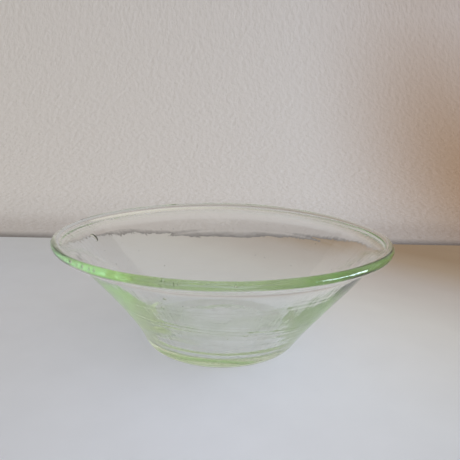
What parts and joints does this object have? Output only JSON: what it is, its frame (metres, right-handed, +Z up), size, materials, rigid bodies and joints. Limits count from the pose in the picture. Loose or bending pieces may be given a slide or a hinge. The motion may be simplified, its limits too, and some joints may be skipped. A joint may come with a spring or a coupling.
{
  "type": "glass bowl",
  "caption": "Wide hand-blown bowl of pale green glass, its wall flaring to a rolled rim and its base thick, with a shallow kick underneath.",
  "frame": {"origin": "on the table, at the middle of the flat ring that the bowl rests on", "axes": "+Z points up out of the bowl; +X is the side to which the wall sways; the side seen from the front faces -Y"},
  "size_m": [0.24, 0.24, 0.0834],
  "materials": {
    "base_glass": "clear bottle-green soda-lime glass, thick, fire-polished",
    "wall_glass": "clear pale green soda-lime glass, free-blown, with seeds and cords",
    "rim_glass": "clear green soda-lime glass, rolled and fire-polished",
    "mark_glass": "pale green glass, snapped off and left rough"
  },
  "bodies": {
    "root": {"thick_base": "base_glass", "bowl_wall": "wall_glass", "rolled_rim": "rim_glass", "pontil_mark": "mark_glass"}
  },
  "joints": []
}
